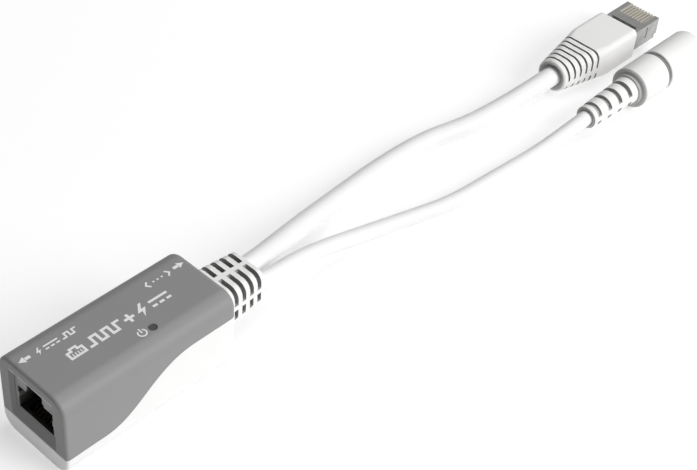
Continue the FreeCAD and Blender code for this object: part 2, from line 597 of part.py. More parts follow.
def dc_centre_pin():
    """The free pin, and behind the bottom of the bore its thicker shank."""
    tip, bottom = DC_FRONT - 1.2, DC_FRONT - BORE_L
    return turned([(DC_SLEEVE - 1.0, 0), (DC_SLEEVE - 1.0, SHANK_R), (bottom, SHANK_R), (bottom, PIN_R),
                   (tip - 0.5, PIN_R), (tip - 0.12, 0.7), (tip, 0)], DC_Y, DC_Z)


def main():
    os.makedirs("parts", exist_ok=True)
    block, cavity = case_block(), case_cavity()
    save("top_cover", top_cover(block, cavity))
    save("base_shell", base_shell(block, cavity))
    save("light_pipe", light_pipe())
    save("jack_shield", jack_shield())
    save("jack_housing", jack_housing())
    save("jack_contact_carrier", jack_contact_carrier())
    save("jack_contact_leads", *jack_contact_leads())
    save("jack_contact_springs", *jack_contact_springs())
    save("circuit_board", circuit_board())
    save("pulse_transformer", pulse_transformer())
    save("transformer_pins", *transformer_pins())
    save("chip_capacitors", *chip_capacitors())
    save("chip_resistors", *chip_resistors())
    save("surge_diode", surge_diode())
    save("indicator_led", indicator_led())
    save("data_conductors", *data_conductors())
    save("power_conductor_positive", power_conductor(POWER_EXIT[1] + 0.65, -2.2, 17.6))
    save("power_conductor_negative", power_conductor(POWER_EXIT[1] - 0.65, -4.5, 16.7))
    save("cable_boot", cable_boot())
    save("data_cable", tube(DATA_ROUTE, DATA_D / 2, "data_cable"))
    save("power_cable", tube(POWER_ROUTE, POWER_D / 2, "power_cable"))
    save("plug_shield", plug_shield())
    save("plug_body", plug_body())
    save("plug_contacts", *plug_contacts())
    save("plug_load_bar", plug_load_bar())
    save("plug_conductors", *plug_conductors())
    save("plug_latch", plug_latch())
    save("plug_boot", plug_boot())
    save("dc_overmould", dc_overmould())
    save("dc_spacer_ring", dc_spacer_ring())
    save("dc_front_sleeve", dc_front_sleeve())
    save("dc_insulator", dc_insulator())
    save("dc_spring_contact", dc_spring_contact())
    save("dc_centre_pin", dc_centre_pin())


main()
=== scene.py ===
"""The looks of an in-line power-over-Ethernet injector: casing, slotted boot, two leads, network plug, DC socket.

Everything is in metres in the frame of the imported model: +X from the jack to the leads, +Y the data lead's side.
"""
import math

import bpy
from mathutils import Matrix, Vector


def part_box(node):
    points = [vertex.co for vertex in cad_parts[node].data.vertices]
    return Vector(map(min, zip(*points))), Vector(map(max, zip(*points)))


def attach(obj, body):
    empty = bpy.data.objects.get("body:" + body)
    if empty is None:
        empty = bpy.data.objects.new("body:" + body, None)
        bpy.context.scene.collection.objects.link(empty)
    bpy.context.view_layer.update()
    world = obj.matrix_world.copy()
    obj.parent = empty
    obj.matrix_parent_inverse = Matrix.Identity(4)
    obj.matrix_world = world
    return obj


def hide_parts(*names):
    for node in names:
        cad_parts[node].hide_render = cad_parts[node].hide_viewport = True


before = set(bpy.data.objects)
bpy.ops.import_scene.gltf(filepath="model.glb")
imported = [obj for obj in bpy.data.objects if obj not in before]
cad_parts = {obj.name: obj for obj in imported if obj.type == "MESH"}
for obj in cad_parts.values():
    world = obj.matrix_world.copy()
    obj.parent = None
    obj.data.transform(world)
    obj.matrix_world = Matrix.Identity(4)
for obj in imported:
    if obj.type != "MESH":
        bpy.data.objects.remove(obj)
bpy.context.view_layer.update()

MM = 0.001
INJECTOR = "injector"

# ------------------------------------------------------------------ places taken from the frame

COVER_LOW, COVER_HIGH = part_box("top_cover")
BOOT_LOW, BOOT_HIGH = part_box("cable_boot")
GRIP_LOW, GRIP_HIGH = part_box("plug_boot")
TAIL_LOW, TAIL_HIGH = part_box("dc_overmould")
SLEEVE_LOW, SLEEVE_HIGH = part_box("dc_front_sleeve")
SHIELD_LOW, SHIELD_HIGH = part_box("plug_shield")

CASE_TOP = COVER_HIGH.z
CASE_BACK = COVER_HIGH.x
BOOT_END = BOOT_HIGH.x
GRIP_Y, GRIP_Z = (GRIP_LOW.y + GRIP_HIGH.y) / 2, (GRIP_LOW.z + GRIP_HIGH.z) / 2
DC_Y, DC_Z = (SLEEVE_LOW.y + SLEEVE_HIGH.y) / 2, (SLEEVE_LOW.z + SLEEVE_HIGH.z) / 2
DC_R = (SLEEVE_HIGH.z - SLEEVE_LOW.z) / 2
BOOT_Z = (BOOT_LOW.z + BOOT_HIGH.z) / 2

DATA_D, POWER_D = 5.7 * MM, 4.3 * MM
DATA_ROUTE = [
    (0.0383, 0.0024, 0.0116), (0.047, 0.0032, 0.0111), (0.062, 0.0074, 0.0074), (0.080, 0.0111, 0.004),
    (0.100, 0.0132, 0.0029), (0.118, 0.0127, 0.0029), (0.131, 0.0093, 0.0029), (0.146, 0.0082, 0.00295),
    (0.1565, 0.0071, 0.0043), (0.1665, 0.00655, 0.00515),
]
POWER_ROUTE = [
    (0.0383, -0.0033, 0.0116), (0.046, -0.0029, 0.0112), (0.060, -0.0017, 0.008), (0.076, -0.0024, 0.0039),
    (0.090, -0.0048, 0.00225), (0.104, -0.0087, 0.0022), (0.120, -0.0096, 0.0022), (0.136, -0.0107, 0.0022),
    (0.1475, -0.012, 0.0045), (0.1564, -0.0126, 0.006),
]


# ------------------------------------------------------------------ shader expressions

class Wire:
    """A node's output in one finish. Arithmetic on it adds Math nodes."""

    def __init__(self, finish, socket):
        self.finish = finish
        self.socket = socket

    def maths(self, operation, *values):
        return self.finish.add("ShaderNodeMath", {"operation": operation}, *values)

    def __add__(self, other):
        return self.maths("ADD", self, other)

    def __sub__(self, other):
        return self.maths("SUBTRACT", self, other)

    def __mul__(self, other):
        return self.maths("MULTIPLY", self, other)

    def __gt__(self, other):
        return self.maths("GREATER_THAN", self, other)

    def __lt__(self, other):
        return self.maths("LESS_THAN", self, other)

    def __abs__(self):
        return self.maths("ABSOLUTE", self)

    def wrapped(self, step):
        """The distance past the last multiple of step."""
        return self.maths("FLOORED_MODULO", self, step)

    def eased(self, low, high):
        """0 below low, 1 above high, smooth between."""
        return self.finish.add("ShaderNodeMapRange", {"interpolation_type": "SMOOTHSTEP"}, self, low, high)


class Finish:
    """A material with one Principled shader, built from expressions."""

    def __init__(self, name, **uniform):
        self.material = bpy.data.materials.new(name)
        self.material.use_nodes = True
        self.tree = self.material.node_tree
        self.shader = self.tree.nodes["Principled BSDF"]
        for socket, value in uniform.items():
            self.shader.inputs[socket.replace("_", " ")].default_value = value
        place = self.tree.nodes.new("ShaderNodeTexCoord")
        self.place = Wire(self, place.outputs["Object"])

    def add(self, kind, settings, *values, **named):
        """A node of that kind: its settings first, then its inputs in order, then its inputs by name."""
        node = self.tree.nodes.new(kind)
        for key, value in settings.items():
            if key == "stops":
                self.set_stops(node.color_ramp, value)
            else:
                setattr(node, key, value)
        by_name = [(node.inputs[key.replace("_", " ")], value) for key, value in named.items()]
        for socket, value in [*zip(node.inputs, values), *by_name]:
            if isinstance(value, Wire):
                self.tree.links.new(value.socket, socket)
            elif value is not None:
                socket.default_value = value
        return Wire(self, node.outputs[0])

    @staticmethod
    def set_stops(ramp, stops):
        while len(ramp.elements) < len(stops):
            ramp.elements.new(0.5)
        for element, (position, colour) in zip(ramp.elements, stops):
            element.position = position
            element.color = colour

    def feed(self, socket, wire):
        self.tree.links.new(wire.socket, self.shader.inputs[socket])

    def axes(self, vector=None):
        """The x, y and z of a vector, or of the place on the piece."""
        node = self.tree.nodes.new("ShaderNodeSeparateXYZ")
        self.tree.links.new((vector or self.place).socket, node.inputs[0])
        return [Wire(self, output) for output in node.outputs]

    def stretched(self, x, y, z):
        """The place with each axis multiplied, for patterns longer one way than another."""
        return self.add("ShaderNodeVectorMath", {"operation": "MULTIPLY"}, self.place, (x, y, z))

    def noise(self, grain, detail=2.0, roughness=0.5, vector=None):
        """Noise from 0 to 1, with features about grain metres across."""
        return self.add("ShaderNodeTexNoise", {}, Vector=vector or self.place, Scale=1 / grain, Detail=detail,
                        Roughness=roughness)

    def blend(self, factor, first, second):
        """A colour between two colours."""
        node = self.tree.nodes.new("ShaderNodeMix")
        node.data_type = "RGBA"
        for socket, value in ((node.inputs[0], factor), (node.inputs[6], first), (node.inputs[7], second)):
            if isinstance(value, Wire):
                self.tree.links.new(value.socket, socket)
            else:
                socket.default_value = (*value, 1.0) if isinstance(value, tuple) else value
        return Wire(self, node.outputs[2])

    def bump(self, height, strength, distance):
        self.feed("Normal", self.add("ShaderNodeBump", {}, Strength=strength, Distance=distance, Height=height))


def moulded(name, colour, rough=0.45, spark=0.12 * MM, depth=0.02 * MM, **uniform):
    """Injection-moulded plastic: an even colour with a slight drift, a fine eroded texture and a few soft rubs."""
    finish = Finish(name, **uniform)
    drift = finish.noise(14 * MM, detail=3)
    darker, lighter = tuple(c * 0.965 for c in colour), tuple(min(1.0, c * 1.03) for c in colour)
    finish.feed("Base Color", finish.blend(drift, darker, lighter))
    grain = finish.noise(spark, detail=3, roughness=0.65)
    rubs = finish.noise(5 * MM, detail=5, roughness=0.7).eased(0.58, 0.75)
    finish.feed("Roughness", grain * 0.12 + (rough - 0.06) - rubs * 0.07)
    finish.bump(grain, 0.35, depth)
    return finish.material


def jacket(name, colour):
    """An extruded PVC jacket: satin, with faint drawing streaks along it and slow waves in its thickness."""
    finish = Finish(name, Specular_IOR_Level=0.45)
    streaks = finish.noise(1.0, detail=3, vector=finish.stretched(60, 1600, 1600))
    mottle = finish.noise(9 * MM, detail=2)
    finish.feed("Base Color", finish.blend(mottle, tuple(c * 0.97 for c in colour), colour))
    finish.feed("Roughness", streaks * 0.12 + 0.34)
    finish.bump(streaks * 0.4 + finish.noise(2.5 * MM) * 0.6, 0.25, 0.03 * MM)
    return finish.material


def plated(name, colour, rough=0.3, along=(60, 900, 900), metal=1.0):
    """Plated sheet or wire: metal with fine rolling lines, a soft tarnish and small scratches."""
    finish = Finish(name, Metallic=metal)
    lines = finish.noise(1.0, detail=4, roughness=0.6, vector=finish.stretched(*along))
    tarnish = finish.noise(3 * MM, detail=4).eased(0.35, 0.75)
    finish.feed("Base Color", finish.blend(tarnish, colour, tuple(c * 0.8 for c in colour)))
    finish.feed("Roughness", lines * 0.16 + tarnish * 0.08 + (rough - 0.1))
    finish.bump(lines, 0.2, 0.01 * MM)
    return finish.material


def clear(name, colour, rough=0.06, see_through=1.0):
    """Clear moulded plastic with slight flow marks."""
    finish = Finish(name, Transmission_Weight=see_through, IOR=1.5)
    flow = finish.noise(4 * MM, detail=3, vector=finish.stretched(0.4, 1, 1))
    finish.feed("Base Color", finish.blend(flow, colour, tuple(c * 0.93 for c in colour)))
    finish.feed("Roughness", finish.noise(0.6 * MM, detail=3) * 0.08 + rough)
    finish.bump(flow, 0.15, 0.05 * MM)
    return finish.material


def board_mask():
    """Green solder mask with buried tracks and the weave of the glass under it."""
    finish = Finish("board green mask", Coat_Weight=0.3)
    x, y, _ = finish.axes()
    bend = finish.noise(6 * MM, detail=0) * (2 * MM)
    track = ((y + bend).wrapped(1.1 * MM) < 0.35 * MM) * ((x + bend).wrapped(9 * MM) > 1.5 * MM)
    weave = finish.noise(1.0, detail=1, vector=finish.stretched(900, 2400, 900))
    mask = finish.blend(weave, (0.008, 0.10, 0.035), (0.012, 0.13, 0.05))
    finish.feed("Base Color", finish.blend(track, mask, (0.02, 0.21, 0.08)))
    finish.feed("Roughness", weave * 0.15 + 0.25)
    finish.bump(track + weave * 0.2, 0.3, 0.03 * MM)
    return finish.material


def chip_body(name, colour):
    """A chip part: its two ends are tinned, its middle is ceramic or film."""
    finish = Finish(name)
    normal = finish.tree.nodes.new("ShaderNodeTexCoord")
    across, _, _ = finish.axes(Wire(finish, normal.outputs["Normal"]))
    ends = abs(across) > 0.5
    speckle = finish.noise(0.15 * MM, detail=3)
    ceramic = finish.blend(speckle, tuple(c * 0.8 for c in colour), colour)
    finish.feed("Base Color", finish.blend(ends, ceramic, (0.62, 0.61, 0.59)))
    finish.feed("Metallic", ends)
    finish.feed("Roughness", speckle * 0.2 + 0.35)
    return finish.material


def wire_insulation():
    """The colours of four pairs, told apart by where each wire leaves the jacket, each second one striped white."""
    finish = Finish("pair insulation", Specular_IOR_Level=0.5)
    x, y, z = finish.axes()
    colours = ((0.75, 0.28, 0.03), (0.05, 0.35, 0.09), (0.04, 0.12, 0.5), (0.24, 0.11, 0.05))
    lot = (y * 450 + 0.5).wrapped(1.0)
    shade = finish.add("ShaderNodeValToRGB", {"stops": [(i / 4, (*c, 1)) for i, c in enumerate(colours)]}, lot)
    shade.socket.node.color_ramp.interpolation = "CONSTANT"
    stripe = ((x + z).wrapped(2.4 * MM) < 1.2 * MM) * (y.wrapped(2 * MM) < 1 * MM)
    finish.feed("Base Color", finish.blend(stripe, shade, (0.8, 0.8, 0.78)))
    finish.feed("Roughness", finish.noise(1 * MM) * 0.1 + 0.35)
    return finish.material


def pad_print():
    """White ink: opaque, slightly chalky, a little uneven at its edges."""
    finish = Finish("white pad print", Specular_IOR_Level=0.35)
    screen = finish.noise(0.25 * MM, detail=3)
    finish.feed("Base Color", finish.blend(screen, (0.72, 0.72, 0.72), (0.82, 0.82, 0.82)))
    finish.feed("Roughness", screen * 0.15 + 0.5)
    finish.bump(screen, 0.2, 0.01 * MM)
    return finish.material


COVER_GREY = moulded("satin grey cover", (0.255, 0.255, 0.255), rough=0.46, Specular_IOR_Level=0.2)
BASE_WHITE = moulded("satin white base", (0.80, 0.80, 0.795), rough=0.42, Specular_IOR_Level=0.3)
BOOT_WHITE = moulded("soft white boot", (0.80, 0.795, 0.79), rough=0.55, spark=0.2 * MM, Specular_IOR_Level=0.2)
# Painted shade: the floors and walls of the boots' slots are grey to stand for the shade deep in them.
SLOT_PAINTED_SHADE = moulded("boot slot painted shade", (0.33, 0.33, 0.32), rough=0.6)
# Painted shade, lighter: the overmould's tail slots and the rear faces of the overmould and the plug boot, turned
# from the light, are light grey.
OVERMOULD_SLOT_AND_REAR_PAINTED_SHADE = moulded("overmould slot and rear painted shade", (0.42, 0.42, 0.41), rough=0.6)
RING_GREY = moulded("dark grey ring", (0.20, 0.20, 0.195), rough=0.5)
BLACK = moulded("black moulding", (0.02, 0.02, 0.02), rough=0.5)
JACK_BLACK = moulded("black jack moulding", (0.055, 0.055, 0.052), rough=0.55)
CABLE_WHITE = jacket("white cable jacket", (0.82, 0.82, 0.82))
NICKEL = plated("nickel sheet", (0.40, 0.40, 0.395), rough=0.4, metal=0.45)
# Painted shade: a darker copy of the nickel for the jack's shield, which sits in the shade of the mouth.
JACK_NICKEL_PAINTED_SHADE = plated("shaded nickel sheet", (0.24, 0.24, 0.235), rough=0.45, metal=0.4)
GOLD = plated("gold contact", (0.38, 0.32, 0.20), rough=0.4, metal=0.4)
# Painted shade: a darker copy of the gold for the jack's springs, deep in the shade of the port.
SPRING_GOLD_PAINTED_SHADE = plated("shaded gold spring", (0.20, 0.17, 0.11), rough=0.45, metal=0.4)
TIN = plated("tinned metal", (0.62, 0.61, 0.60), rough=0.32)
CLEAR_PLUG = clear("clear plug", (0.62, 0.60, 0.54), rough=0.2, see_through=0.2)
CLEAR_PIPE = clear("smoky light pipe", (0.30, 0.30, 0.30), see_through=0.7)
LED_BODY = clear("pale green lens", (0.75, 0.85, 0.68), see_through=0.5)
RED = moulded("red insulation", (0.5, 0.02, 0.02), rough=0.35)
# Painted highlight: a light grey strip standing for the light caught on the mouth's top edge.
MOUTH_EDGE_PAINTED_HIGHLIGHT = moulded("cover edge painted highlight", (0.62, 0.62, 0.61), rough=0.35)
INK = pad_print()

NODE_FINISHES = {
    "top_cover": COVER_GREY, "base_shell": BASE_WHITE, "light_pipe": CLEAR_PIPE, "jack_shield": JACK_NICKEL_PAINTED_SHADE,
    "jack_housing": JACK_BLACK, "jack_contact_carrier": BLACK, "jack_contact_leads": GOLD,
    "circuit_board": board_mask(), "pulse_transformer": BLACK,
    "transformer_pins": TIN, "chip_capacitors": chip_body("tan ceramic", (0.42, 0.30, 0.18)),
    "chip_resistors": chip_body("black film", (0.03, 0.03, 0.03)), "surge_diode": BLACK,
    "indicator_led": LED_BODY, "data_conductors": wire_insulation(), "power_conductor_positive": RED,
    "power_conductor_negative": BLACK, "plug_shield": NICKEL, "plug_body": CLEAR_PLUG,
    # plug_load_bar is black to paint the shade of the crimp window above it.
    "plug_load_bar": BLACK, "plug_conductors": wire_insulation(), "plug_latch": CLEAR_PLUG,
    "dc_spacer_ring": RING_GREY, "dc_insulator": BLACK, "dc_spring_contact": TIN, "dc_centre_pin": TIN,
}


def finish_nodes():
    for name, material in NODE_FINISHES.items():
        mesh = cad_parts[name].data
        mesh.materials.clear()
        mesh.materials.append(material)


# ------------------------------------------------------------------ pieces from points

def piece(name, points, faces, materials, node=None, shades=None, body=INJECTOR, sharp=38):
    """A mesh piece that rides on a body and stands for a CAD node where one is named.

    Edges flatter than the angle sharp are smooth.
    """
    mesh = bpy.data.meshes.new(name)
    mesh.from_pydata(points, [], faces)
    for material in materials:
        mesh.materials.append(material)
    if shades:
        mesh.polygons.foreach_set("material_index", shades)
    mesh.polygons.foreach_set("use_smooth", [True] * len(mesh.polygons))
    mesh.set_sharp_from_angle(angle=math.radians(sharp))
    mesh.update()
    obj = bpy.data.objects.new(name, mesh)
    bpy.context.scene.collection.objects.link(obj)
    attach(obj, body)
    if node:
        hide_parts(node)
    return obj


CORNER_STEPS, SIDE_STEPS = 14, 22
NEAR = 1e-7


def ring(width, height, radius):
    """Points of y and z round a rounded rectangle, as many on every corner and every side."""
    points = []
    corners = ((1, 1), (-1, 1), (-1, -1), (1, -1))
    for quarter, (sy, sz) in enumerate(corners):
        cy, cz = sy * (width / 2 - radius), sz * (height / 2 - radius)
        for step in range(CORNER_STEPS + 1):
            angle = math.pi / 2 * (quarter + step / CORNER_STEPS)
            points.append((cy + radius * math.cos(angle), cz + radius * math.sin(angle)))
        ny, nz = corners[(quarter + 1) % 4]
        if quarter % 2 == 0:
            end = (ny * (width / 2 - radius), nz * height / 2)
        else:
            end = (ny * width / 2, nz * (height / 2 - radius))
        start = points[-1]
        for step in range(1, SIDE_STEPS):
            t = step / SIDE_STEPS
            points.append((start[0] + (end[0] - start[0]) * t, start[1] + (end[1] - start[1]) * t))
    return points


def between(profile, x):
    """The width, height and radius of a straight-sided profile at x."""
    for (x0, *first), (x1, *last) in zip(profile, profile[1:]):
        if x0 <= x <= x1:
            t = (x - x0) / (x1 - x0)
            return [a + (b - a) * t for a, b in zip(first, last)]
    raise ValueError(f"{x} is outside the profile")


def in_slot(x, slots):
    return any(x0 - NEAR <= x <= x1 + NEAR for x0, x1 in slots)


def slotted(profile, slots, wall=0.05 * MM):
    """The profile with a station at each edge of each slot, so that slot walls stand nearly upright."""
    edges = [x for x0, x1 in slots for x in (x0 - wall, x0, x1, x1 + wall)]
    known = [station[0] for station in profile]
    return sorted([*profile, *((x, *between(profile, x)) for x in edges if x not in known)])


def sleeve(name, stations, y, z, node, materials, sunk=lambda x, dy, dz: 0.0, painted_shade_spans=()):
    """A closed skin through stations of x, width, height and radius. sunk gives how deep a point lies in a slot.

    The last argument lists the spans of stations that take the last of the materials, a grey that paints the shade
    of faces turned from the light; faces sunk in a slot take the second material, which paints the slot's shade.
    """
    points, deep, count = [], [], None
    for x, width, height, radius in stations:
        outer = ring(width, height, radius)
        count = len(outer)
        for i, (dy, dz) in enumerate(outer):
            depth = sunk(x, dy, dz)
            if depth:
                inner = ring(width - 2 * depth, height - 2 * depth, max(radius - depth, 0.2 * MM))
                dy, dz = inner[i]
            points.append((x, y + dy, z + dz))
            deep.append(depth > 0)
    faces = []
    for s in range(len(stations) - 1):
        for i in range(count):
            j = (i + 1) % count
            faces.append((s * count + i, s * count + j, (s + 1) * count + j, (s + 1) * count + i))
    last = (len(stations) - 1) * count
    faces.append(tuple(range(count - 1, -1, -1)))
    faces.append(tuple(range(last, last + count)))
    # Faces sunk in a slot take the second material, painted shade for the slot's depth.
    shades = [1 if sum(deep[v] for v in face) >= 2 and len(face) == 4 else 0 for face in faces]
    for first, final in painted_shade_spans:
        shades[first * count:final * count] = [len(materials) - 1] * ((final - first) * count)
    return piece(name, points, faces, materials, node=node, shades=shades)


def rounded(x, width, height, radius, fillet, towards, steps=5):
    """Stations that round an end: towards is +1 for the high-x end and -1 for the low-x end."""
    made = []
    for step in range(steps + 1):
        angle = math.pi / 2 * step / steps
        back = fillet * (1 - math.sin(angle))
        inset = fillet * (1 - math.cos(angle))
        made.append((x - towards * back, width - 2 * inset, height - 2 * inset, max(radius - inset, 0.1 * MM)))
    return made if towards > 0 else made[::-1]


def round_stations(profile):
    """Stations of a turned piece, from points of x and radius."""
    return [(x, 2 * r, 2 * r, r) for x, r in profile]


# ------------------------------------------------------------------ boots and socket

def make_cable_boot():
    base, tip = (13.6 * MM, 11.75 * MM, 2.8 * MM), (11.6 * MM, 10.7 * MM, 2.6 * MM)
    depth, slot_w, pitch, first = 1.3 * MM, 1.15 * MM, 2.6 * MM, 26.6 * MM
    spine = 0.75 * MM
    upper_from, middle_from, middle_to, lower_to = 1.4 * MM, -2.5 * MM, -0.2 * MM, -4.2 * MM
    neck, flange = (10.2 * MM, 10.2 * MM, 2.9 * MM), (13.4 * MM, 13 * MM, 3 * MM)
    wall_out, wall_in = CASE_BACK + 0.05 * MM, CASE_BACK - 1.9 * MM
    slots = [(first + pitch * i - slot_w / 2, first + pitch * i + slot_w / 2) for i in range(5)]
    rear = rounded(wall_out, *base, 0.3 * MM, -1)
    front = rounded(BOOT_END, *tip, 0.5 * MM, 1)
    outer = slotted([(rear[-1][0], *base), (front[0][0], *tip)], slots)
    stations = [(BOOT_LOW.x, *flange), (wall_in, *flange), (wall_in, *neck), (wall_out, *neck),
                *rear[:-1], *outer, *front[1:]]

    def sunk(x, dy, dz):
        if not in_slot(x, slots) or abs(dy) < spine:
            return 0.0
        return depth if dz > upper_from or middle_from < dz < middle_to or dz < lower_to else 0.0

    # The slot faces take the darker grey, painted shade for the slots' depth.
    return sleeve("cable_boot_skin", stations, 0.0, BOOT_Z, "cable_boot", [BOOT_WHITE, SLOT_PAINTED_SHADE], sunk)


def make_plug_boot():
    end_d, shoulder_x, w, h, radius = 9.8 * MM, 183.0 * MM, 14.1 * MM, 10.3 * MM, 1.7 * MM
    end_r, fillet, slot_depth = end_d / 2 - 0.05 * MM, 0.6 * MM, 0.7 * MM
    back, front = GRIP_LOW.x, GRIP_HIGH.x
    slots = [((177.8 - 2.28 * i) * MM, (178.4 - 2.28 * i) * MM) for i in range(6)]
    outer = slotted([(back + fillet, end_d, end_d, end_r), (shoulder_x, w, h, radius),
                     (shoulder_x + 0.03 * MM, w, h, radius), (front - fillet, w, h, radius)], slots)
    hole, mouth_d = DATA_D + 0.1 * MM, end_d - 1.8 * MM
    flare, room, pocket_depth = 0.9 * MM, 0.16 * MM, 8 * MM
    pocket_w, pocket_h = SHIELD_HIGH.y - SHIELD_LOW.y + room, SHIELD_HIGH.z - SHIELD_LOW.z + room
    pocket = (pocket_w, pocket_h, 0.3 * MM)
    stations = [*round_stations([(back + 2.2 * MM, hole / 2), (back + 1.0 * MM, hole / 2),
                                 (back + 0.5 * MM, (hole + flare) / 2), (back, mouth_d / 2)]),
                *rounded(back, end_d, end_d, end_r, fillet, -1)[:-1], *outer,
                *rounded(front, w, h, radius, fillet, 1)[1:],
                (front, *pocket), (front - pocket_depth, *pocket)]

    def sunk(x, dy, dz):
        on_side = -4.2 * MM < dz < -1.9 * MM and abs(dy) > 2 * MM
        return slot_depth if in_slot(x, slots) and (dz > 0.0 or on_side) else 0.0

    # Slot faces take the darker painted slot shade; the recessed rear ring, station spans 1 to 4, takes the light
    # grey painted shade of faces turned from the light.
    return sleeve("plug_boot_skin", stations, GRIP_Y, GRIP_Z, "plug_boot",
                  [BOOT_WHITE, SLOT_PAINTED_SHADE, OVERMOULD_SLOT_AND_REAR_PAINTED_SHADE], sunk, [(1, 4)])


def make_dc_overmould():
    back, face, end = TAIL_LOW.x, 175.9 * MM, TAIL_HIGH.x
    thin, thick, core = 3.3 * MM, 4.05 * MM, 2.7 * MM
    slot_start, slot_sweep = 25, 145
    collar = face - 0.9 * MM
    tail_slots = [(x * MM, (x + 1.5) * MM) for x in (157.35, 161.85, 166.4, 170.85)]
    tail = slotted(round_stations([(back + 0.4 * MM, thin), (collar, thick)]), tail_slots)
    hole = POWER_D / 2 + 0.05 * MM
    stations = [*round_stations([(back + 1.5 * MM, hole), (back + 0.3 * MM, hole), (back, hole + 0.25 * MM),
                                 (back, thin - 0.35 * MM), (back + 0.12 * MM, thin - 0.12 * MM)]), *tail,
                *round_stations([(collar, 4.5 * MM), (face - 0.15 * MM, 4.7 * MM), (face, 4.85 * MM),
                                 (face, 5.4 * MM), (face + 0.15 * MM, 5.7 * MM), (face + 0.6 * MM, DC_R),
                                 (end - 0.2 * MM, DC_R), (end, DC_R - 0.2 * MM)])]

    def sunk(x, dy, dz):
        if not in_slot(x, tail_slots):
            return 0.0
        angle = (math.degrees(math.atan2(dz, -dy)) - slot_start) % 180
        return math.hypot(dy, dz) - core if 0 < angle < slot_sweep else 0.0

    # The tail slots, the rear hole, and the rear disc and collar take the light grey that paints their shade.
    last = len(stations) - 1
    return sleeve("dc_overmould_skin", stations, DC_Y, DC_Z, "dc_overmould", [BOOT_WHITE, OVERMOULD_SLOT_AND_REAR_PAINTED_SHADE], sunk,
                  [(1, 4), (last - 8, last - 2)])


def make_dc_sleeve():
    back, front = SLEEVE_LOW.x, SLEEVE_HIGH.x
    inner = 4.3 * MM
    stations = [*round_stations([(back + 1 * MM, inner), (back, inner), (back, DC_R - 0.2 * MM),
                                 (back + 0.2 * MM, DC_R)]),
                *rounded(front, 2 * DC_R, 2 * DC_R, DC_R, 0.9 * MM, 1),
                *round_stations([(front, inner + 0.2 * MM), (front - 0.2 * MM, inner), (back + 2 * MM, inner)])]
    return sleeve("dc_sleeve_skin", stations, DC_Y, DC_Z, "dc_front_sleeve", [BOOT_WHITE])


# ------------------------------------------------------------------ leads

def lead(name, route, diameter, node):
    curve = bpy.data.curves.new(name, "CURVE")
    curve.dimensions = "3D"
    spline = curve.splines.new("NURBS")
    spline.points.add(len(route) - 1)
    for point, place in zip(spline.points, route):
        point.co = (*place, 1.0)
    spline.order_u = 3
    spline.use_endpoint_u = True
    curve.resolution_u = 24
    curve.bevel_depth = diameter / 2
    curve.bevel_resolution = 10
    curve.use_fill_caps = True
    curve.materials.append(CABLE_WHITE)
    obj = bpy.data.objects.new(name, curve)
    bpy.context.scene.collection.objects.link(obj)
    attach(obj, INJECTOR)
    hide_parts(node)
    return obj


# ------------------------------------------------------------------ repeated contacts

def repeated(name, unit, count, start, step, wobble, material, node, body=INJECTOR, seed=7):
    """Copies of a unit mesh in a row along Y, each off its place by up to wobble, made by Geometry Nodes."""
    tree = bpy.data.node_groups.new(name + "_row", "GeometryNodeTree")
    inputs = {}
    for label, kind, value in (("Geometry", "Geometry", None), ("Count", "Int", count), ("Start", "Float", start),
                               ("Step", "Float", step), ("Wobble", "Float", wobble), ("Seed", "Int", seed),
                               ("Material", "Material", material)):
        socket = tree.interface.new_socket(name=label, in_out="INPUT", socket_type="NodeSocket" + kind)
        inputs[label] = (socket.identifier, value)
    tree.interface.new_socket(name="Geometry", in_out="OUTPUT", socket_type="NodeSocketGeometry")

    def add(kind, **links):
        node_made = tree.nodes.new(kind)
        for socket, source in links.items():
            tree.links.new(source, node_made.inputs[socket.replace("_", " ")])
        return node_made

    given = tree.nodes.new("NodeGroupInput").outputs
    place, offset, low, high = (add("ShaderNodeCombineXYZ") for _ in range(4))
    tree.links.new(given["Start"], place.inputs["Y"])
    tree.links.new(given["Step"], offset.inputs["Y"])
    back = add("ShaderNodeMath")
    back.operation = "MULTIPLY"
    back.inputs[1].default_value = -1.0
    tree.links.new(given["Wobble"], back.inputs[0])
    for end, source in ((low, back.outputs[0]), (high, given["Wobble"])):
        tree.links.new(source, end.inputs["X"])
        tree.links.new(source, end.inputs["Z"])
    row = add("GeometryNodeMeshLine", Count=given["Count"], Start_Location=place.outputs[0],
              Offset=offset.outputs[0])
    stray = tree.nodes.new("FunctionNodeRandomValue")
    stray.data_type = "FLOAT_VECTOR"
    tree.links.new(low.outputs[0], stray.inputs[0])
    tree.links.new(high.outputs[0], stray.inputs[1])
    tree.links.new(given["Seed"], stray.inputs["Seed"])
    moved = add("GeometryNodeSetPosition", Geometry=row.outputs[0], Offset=stray.outputs[0])
    copies = add("GeometryNodeInstanceOnPoints", Points=moved.outputs[0], Instance=given["Geometry"])
    real = add("GeometryNodeRealizeInstances", Geometry=copies.outputs[0])
    painted = add("GeometryNodeSetMaterial", Geometry=real.outputs[0], Material=given["Material"])
    tree.links.new(painted.outputs[0], tree.nodes.new("NodeGroupOutput").inputs[0])

    points, faces = unit
    mesh = bpy.data.meshes.new(name + "_unit")
    mesh.from_pydata(points, [], faces)
    obj = bpy.data.objects.new(name, mesh)
    bpy.context.scene.collection.objects.link(obj)
    modifier = obj.modifiers.new("row", "NODES")
    modifier.node_group = tree
    for identifier, value in inputs.values():
        if value is not None:
            modifier[identifier] = value
    made = bpy.data.meshes.new_from_object(obj.evaluated_get(bpy.context.evaluated_depsgraph_get()))
    obj.modifiers.remove(modifier)
    obj.data = made
    made.polygons.foreach_set("use_smooth", [True] * len(made.polygons))
    made.set_sharp_from_angle(angle=math.radians(35))
    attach(obj, body)
    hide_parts(node)
    return obj


